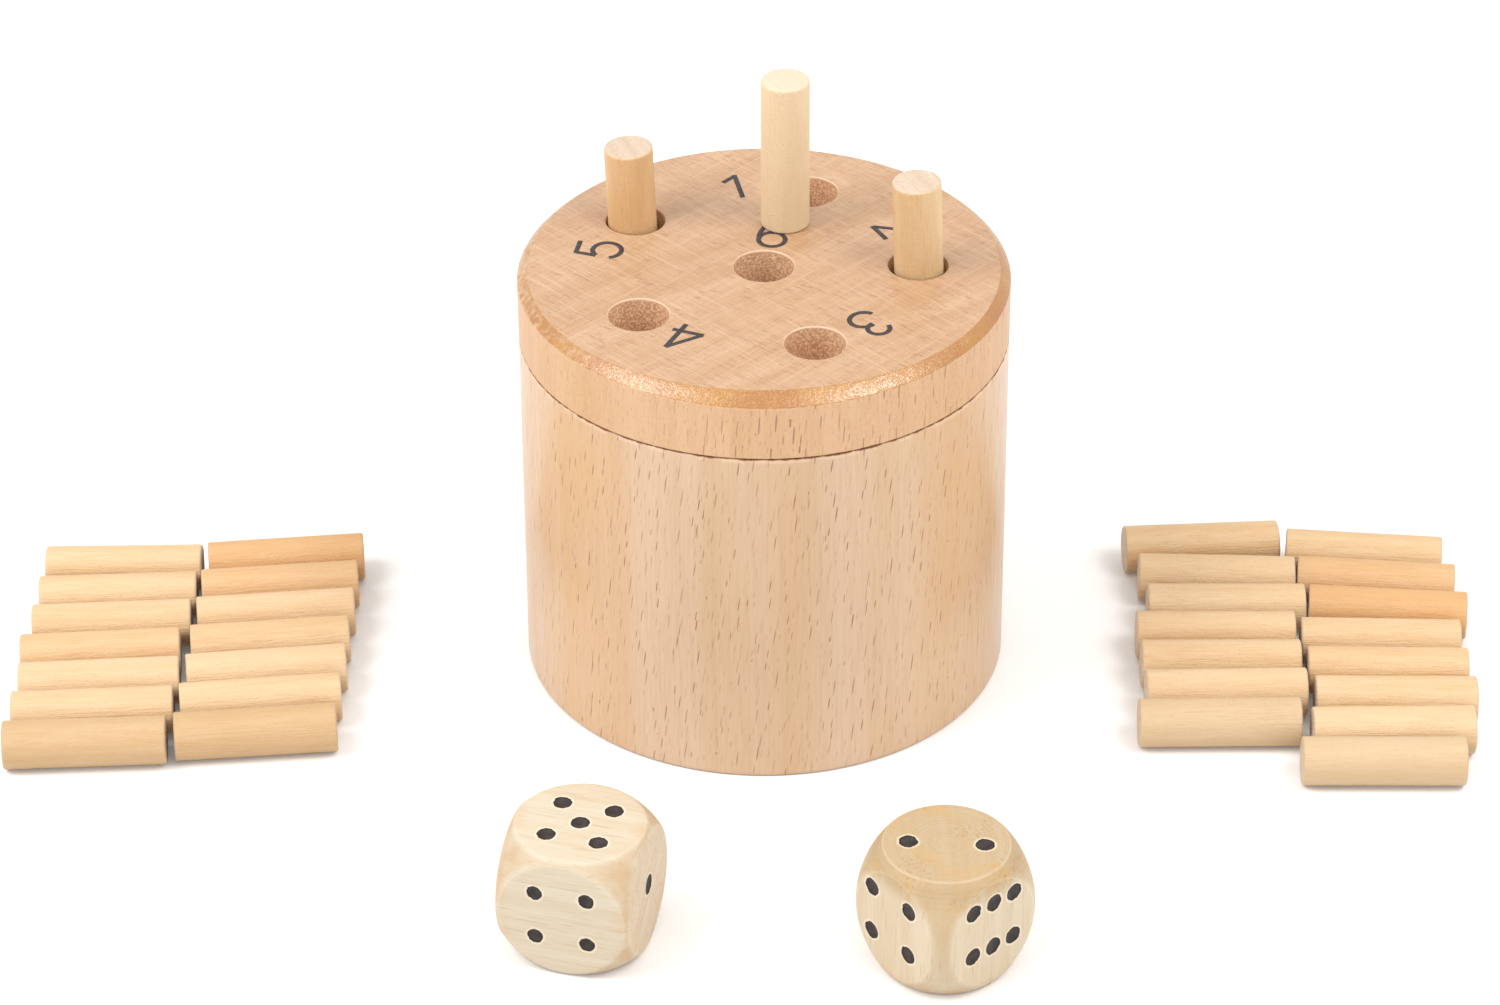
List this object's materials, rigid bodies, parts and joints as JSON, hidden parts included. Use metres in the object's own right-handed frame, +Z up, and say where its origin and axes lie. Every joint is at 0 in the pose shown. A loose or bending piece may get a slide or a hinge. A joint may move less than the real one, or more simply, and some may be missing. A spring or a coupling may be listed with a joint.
{
  "type": "dice game",
  "caption": "Turned round wooden box with a lift-off lid of numbered peg holes, the middle one right through, with loose round sticks that stand in them and pipped dice.",
  "frame": {"origin": "centre of the box's flat base, on the table", "axes": "+Z up along the turning axis of box and lid; -Y towards the player and the dice; +X to the player's right, along the row of stick stocks"},
  "size_m": [0.2742, 0.1579, 0.1123],
  "materials": {
    "box_wood": "satin",
    "lid_wood": "satin",
    "stick_wood": "matte",
    "die_wood": "satin",
    "number_ink": "matte"
  },
  "bodies": {
    "box": {"box": "box_wood"},
    "lid": {"lid": "lid_wood"},
    "stick_in_hole_2": {"stick_in_hole_2": "stick_wood"},
    "stick_in_hole_5": {"stick_in_hole_5": "stick_wood"},
    "stick_on_lid": {"stick_on_lid": "stick_wood"},
    "stick_left_outer_1": {"stick_left_outer_1": "stick_wood"},
    "stick_left_outer_2": {"stick_left_outer_2": "stick_wood"},
    "stick_left_outer_3": {"stick_left_outer_3": "stick_wood"},
    "stick_left_outer_4": {"stick_left_outer_4": "stick_wood"},
    "stick_left_outer_5": {"stick_left_outer_5": "stick_wood"},
    "stick_left_outer_6": {"stick_left_outer_6": "stick_wood"},
    "stick_left_outer_7": {"stick_left_outer_7": "stick_wood"},
    "stick_left_inner_1": {"stick_left_inner_1": "stick_wood"},
    "stick_left_inner_2": {"stick_left_inner_2": "stick_wood"},
    "stick_left_inner_3": {"stick_left_inner_3": "stick_wood"},
    "stick_left_inner_4": {"stick_left_inner_4": "stick_wood"},
    "stick_left_inner_5": {"stick_left_inner_5": "stick_wood"},
    "stick_left_inner_6": {"stick_left_inner_6": "stick_wood"},
    "stick_left_inner_7": {"stick_left_inner_7": "stick_wood"},
    "stick_right_inner_1": {"stick_right_inner_1": "stick_wood"},
    "stick_right_inner_2": {"stick_right_inner_2": "stick_wood"},
    "stick_right_inner_3": {"stick_right_inner_3": "stick_wood"},
    "stick_right_inner_4": {"stick_right_inner_4": "stick_wood"},
    "stick_right_inner_5": {"stick_right_inner_5": "stick_wood"},
    "stick_right_inner_6": {"stick_right_inner_6": "stick_wood"},
    "stick_right_inner_7": {"stick_right_inner_7": "stick_wood"},
    "stick_right_outer_1": {"stick_right_outer_1": "stick_wood"},
    "stick_right_outer_2": {"stick_right_outer_2": "stick_wood"},
    "stick_right_outer_3": {"stick_right_outer_3": "stick_wood"},
    "stick_right_outer_4": {"stick_right_outer_4": "stick_wood"},
    "stick_right_outer_5": {"stick_right_outer_5": "stick_wood"},
    "stick_right_outer_6": {"stick_right_outer_6": "stick_wood"},
    "stick_right_outer_7": {"stick_right_outer_7": "stick_wood"},
    "stick_right_outer_8": {"stick_right_outer_8": "stick_wood"},
    "die_left": {"die_left": "die_wood"},
    "die_right": {"die_right": "die_wood"}
  },
  "joints": [
    {"name": "lid_lift", "type": "slide", "parent": "box", "child": "lid", "axis": [0, 0, 1], "range_m": [0, 0.06]},
    {"name": "stick_in_hole_2_lift", "type": "slide", "parent": "lid", "child": "stick_in_hole_2", "axis": [0, 0, 1], "range_m": [0, 0.03]},
    {"name": "stick_in_hole_5_lift", "type": "slide", "parent": "lid", "child": "stick_in_hole_5", "axis": [0, 0, 1], "range_m": [0, 0.03]},
    {"name": "stick_on_lid_lift", "type": "slide", "parent": "lid", "child": "stick_on_lid", "axis": [0, 0, 1], "range_m": [0, 0.03]},
    {"name": "stick_left_outer_1_lift", "type": "slide", "parent": "box", "child": "stick_left_outer_1", "axis": [0, 0, 1], "range_m": [0, 0.05]},
    {"name": "stick_left_outer_2_lift", "type": "slide", "parent": "box", "child": "stick_left_outer_2", "axis": [0, 0, 1], "range_m": [0, 0.05]},
    {"name": "stick_left_outer_3_lift", "type": "slide", "parent": "box", "child": "stick_left_outer_3", "axis": [0, 0, 1], "range_m": [0, 0.05]},
    {"name": "stick_left_outer_4_lift", "type": "slide", "parent": "box", "child": "stick_left_outer_4", "axis": [0, 0, 1], "range_m": [0, 0.05]},
    {"name": "stick_left_outer_5_lift", "type": "slide", "parent": "box", "child": "stick_left_outer_5", "axis": [0, 0, 1], "range_m": [0, 0.05]},
    {"name": "stick_left_outer_6_lift", "type": "slide", "parent": "box", "child": "stick_left_outer_6", "axis": [0, 0, 1], "range_m": [0, 0.05]},
    {"name": "stick_left_outer_7_lift", "type": "slide", "parent": "box", "child": "stick_left_outer_7", "axis": [0, 0, 1], "range_m": [0, 0.05]},
    {"name": "stick_left_inner_1_lift", "type": "slide", "parent": "box", "child": "stick_left_inner_1", "axis": [0, 0, 1], "range_m": [0, 0.05]},
    {"name": "stick_left_inner_2_lift", "type": "slide", "parent": "box", "child": "stick_left_inner_2", "axis": [0, 0, 1], "range_m": [0, 0.05]},
    {"name": "stick_left_inner_3_lift", "type": "slide", "parent": "box", "child": "stick_left_inner_3", "axis": [0, 0, 1], "range_m": [0, 0.05]},
    {"name": "stick_left_inner_4_lift", "type": "slide", "parent": "box", "child": "stick_left_inner_4", "axis": [0, 0, 1], "range_m": [0, 0.05]},
    {"name": "stick_left_inner_5_lift", "type": "slide", "parent": "box", "child": "stick_left_inner_5", "axis": [0, 0, 1], "range_m": [0, 0.05]},
    {"name": "stick_left_inner_6_lift", "type": "slide", "parent": "box", "child": "stick_left_inner_6", "axis": [0, 0, 1], "range_m": [0, 0.05]},
    {"name": "stick_left_inner_7_lift", "type": "slide", "parent": "box", "child": "stick_left_inner_7", "axis": [0, 0, 1], "range_m": [0, 0.05]},
    {"name": "stick_right_inner_1_lift", "type": "slide", "parent": "box", "child": "stick_right_inner_1", "axis": [0, 0, 1], "range_m": [0, 0.05]},
    {"name": "stick_right_inner_2_lift", "type": "slide", "parent": "box", "child": "stick_right_inner_2", "axis": [0, 0, 1], "range_m": [0, 0.05]},
    {"name": "stick_right_inner_3_lift", "type": "slide", "parent": "box", "child": "stick_right_inner_3", "axis": [0, 0, 1], "range_m": [0, 0.05]},
    {"name": "stick_right_inner_4_lift", "type": "slide", "parent": "box", "child": "stick_right_inner_4", "axis": [0, 0, 1], "range_m": [0, 0.05]},
    {"name": "stick_right_inner_5_lift", "type": "slide", "parent": "box", "child": "stick_right_inner_5", "axis": [0, 0, 1], "range_m": [0, 0.05]},
    {"name": "stick_right_inner_6_lift", "type": "slide", "parent": "box", "child": "stick_right_inner_6", "axis": [0, 0, 1], "range_m": [0, 0.05]},
    {"name": "stick_right_inner_7_lift", "type": "slide", "parent": "box", "child": "stick_right_inner_7", "axis": [0, 0, 1], "range_m": [0, 0.05]},
    {"name": "stick_right_outer_1_lift", "type": "slide", "parent": "box", "child": "stick_right_outer_1", "axis": [0, 0, 1], "range_m": [0, 0.05]},
    {"name": "stick_right_outer_2_lift", "type": "slide", "parent": "box", "child": "stick_right_outer_2", "axis": [0, 0, 1], "range_m": [0, 0.05]},
    {"name": "stick_right_outer_3_lift", "type": "slide", "parent": "box", "child": "stick_right_outer_3", "axis": [0, 0, 1], "range_m": [0, 0.05]},
    {"name": "stick_right_outer_4_lift", "type": "slide", "parent": "box", "child": "stick_right_outer_4", "axis": [0, 0, 1], "range_m": [0, 0.05]},
    {"name": "stick_right_outer_5_lift", "type": "slide", "parent": "box", "child": "stick_right_outer_5", "axis": [0, 0, 1], "range_m": [0, 0.05]},
    {"name": "stick_right_outer_6_lift", "type": "slide", "parent": "box", "child": "stick_right_outer_6", "axis": [0, 0, 1], "range_m": [0, 0.05]},
    {"name": "stick_right_outer_7_lift", "type": "slide", "parent": "box", "child": "stick_right_outer_7", "axis": [0, 0, 1], "range_m": [0, 0.05]},
    {"name": "stick_right_outer_8_lift", "type": "slide", "parent": "box", "child": "stick_right_outer_8", "axis": [0, 0, 1], "range_m": [0, 0.05]},
    {"name": "die_left_lift", "type": "slide", "parent": "box", "child": "die_left", "axis": [0, 0, 1], "range_m": [0, 0.05]},
    {"name": "die_right_lift", "type": "slide", "parent": "box", "child": "die_right", "axis": [0, 0, 1], "range_m": [0, 0.05]}
  ]
}
